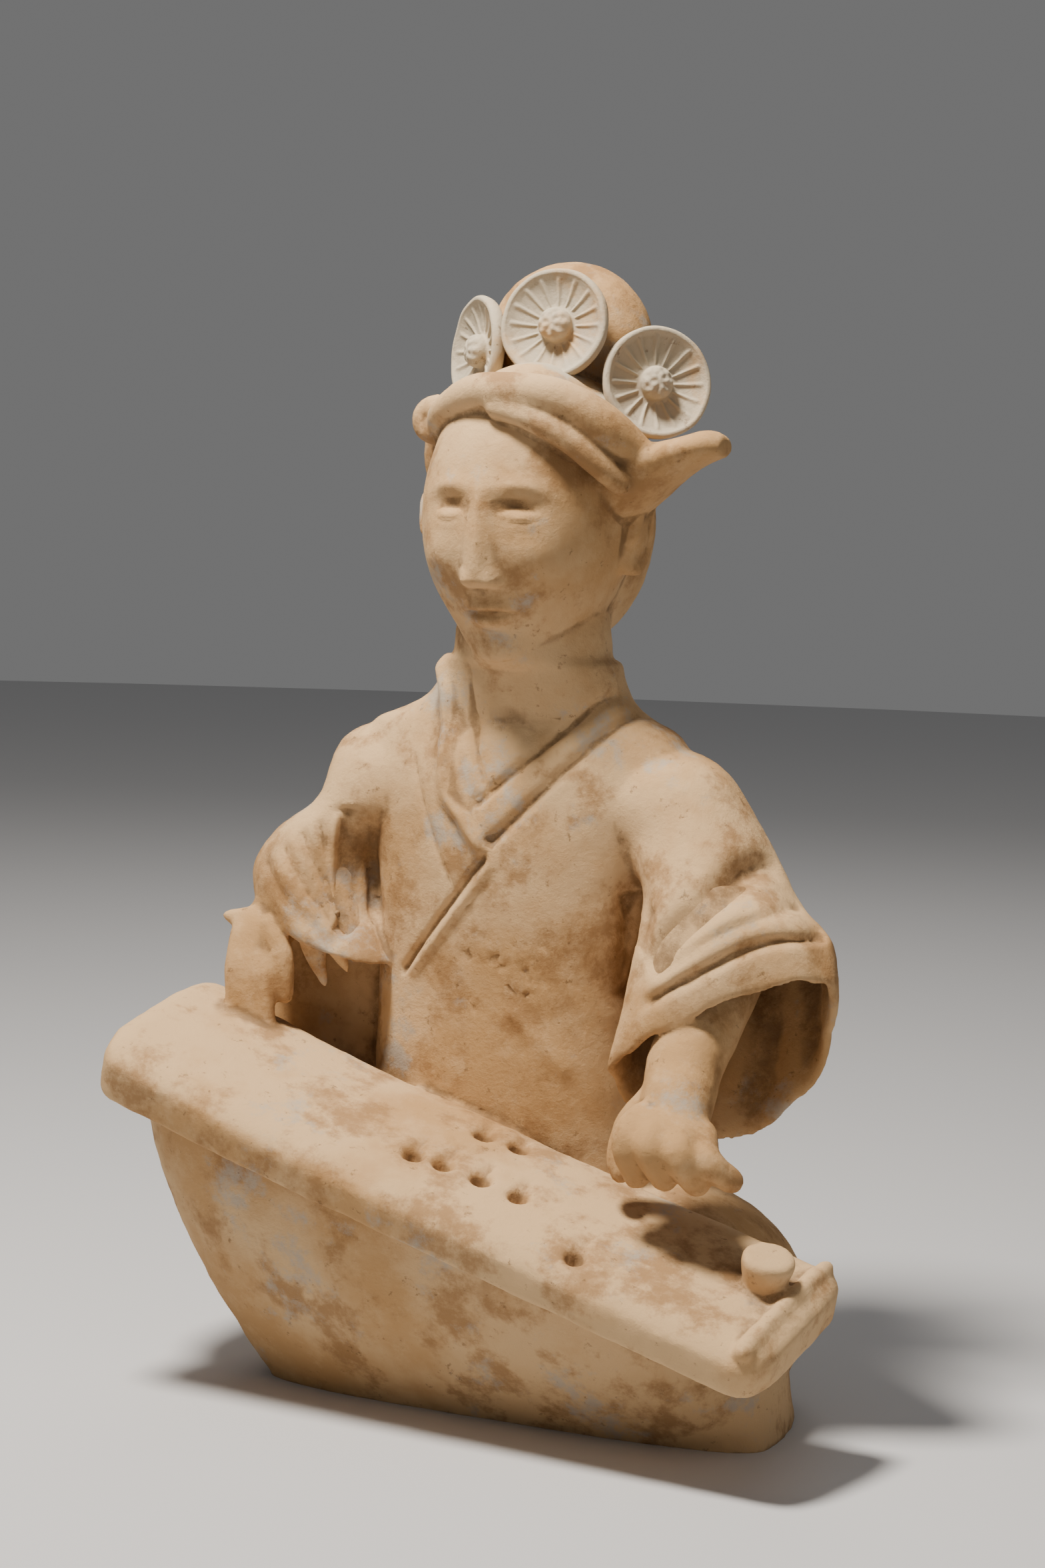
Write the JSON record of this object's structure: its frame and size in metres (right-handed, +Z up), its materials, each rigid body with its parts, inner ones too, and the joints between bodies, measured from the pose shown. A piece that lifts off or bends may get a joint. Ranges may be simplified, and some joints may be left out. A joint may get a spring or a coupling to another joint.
{
  "type": "pottery figure of a kneeling zither player",
  "caption": "Fired-clay tomb figure kneeling behind a long zither laid across the lap, with crossed collar, wide sleeves and flowers on the headdress.",
  "frame": {"origin": "on the ground, at the middle of the figure's bounding box", "axes": "+Z up, -Y the way the figure faces, +X to the figure's left hand"},
  "size_m": [0.3956, 0.275, 0.5907],
  "materials": {
    "fired_clay": "matt unglazed buff clay"
  },
  "bodies": {
    "root": {"pottery_musician": "fired_clay"}
  },
  "joints": []
}
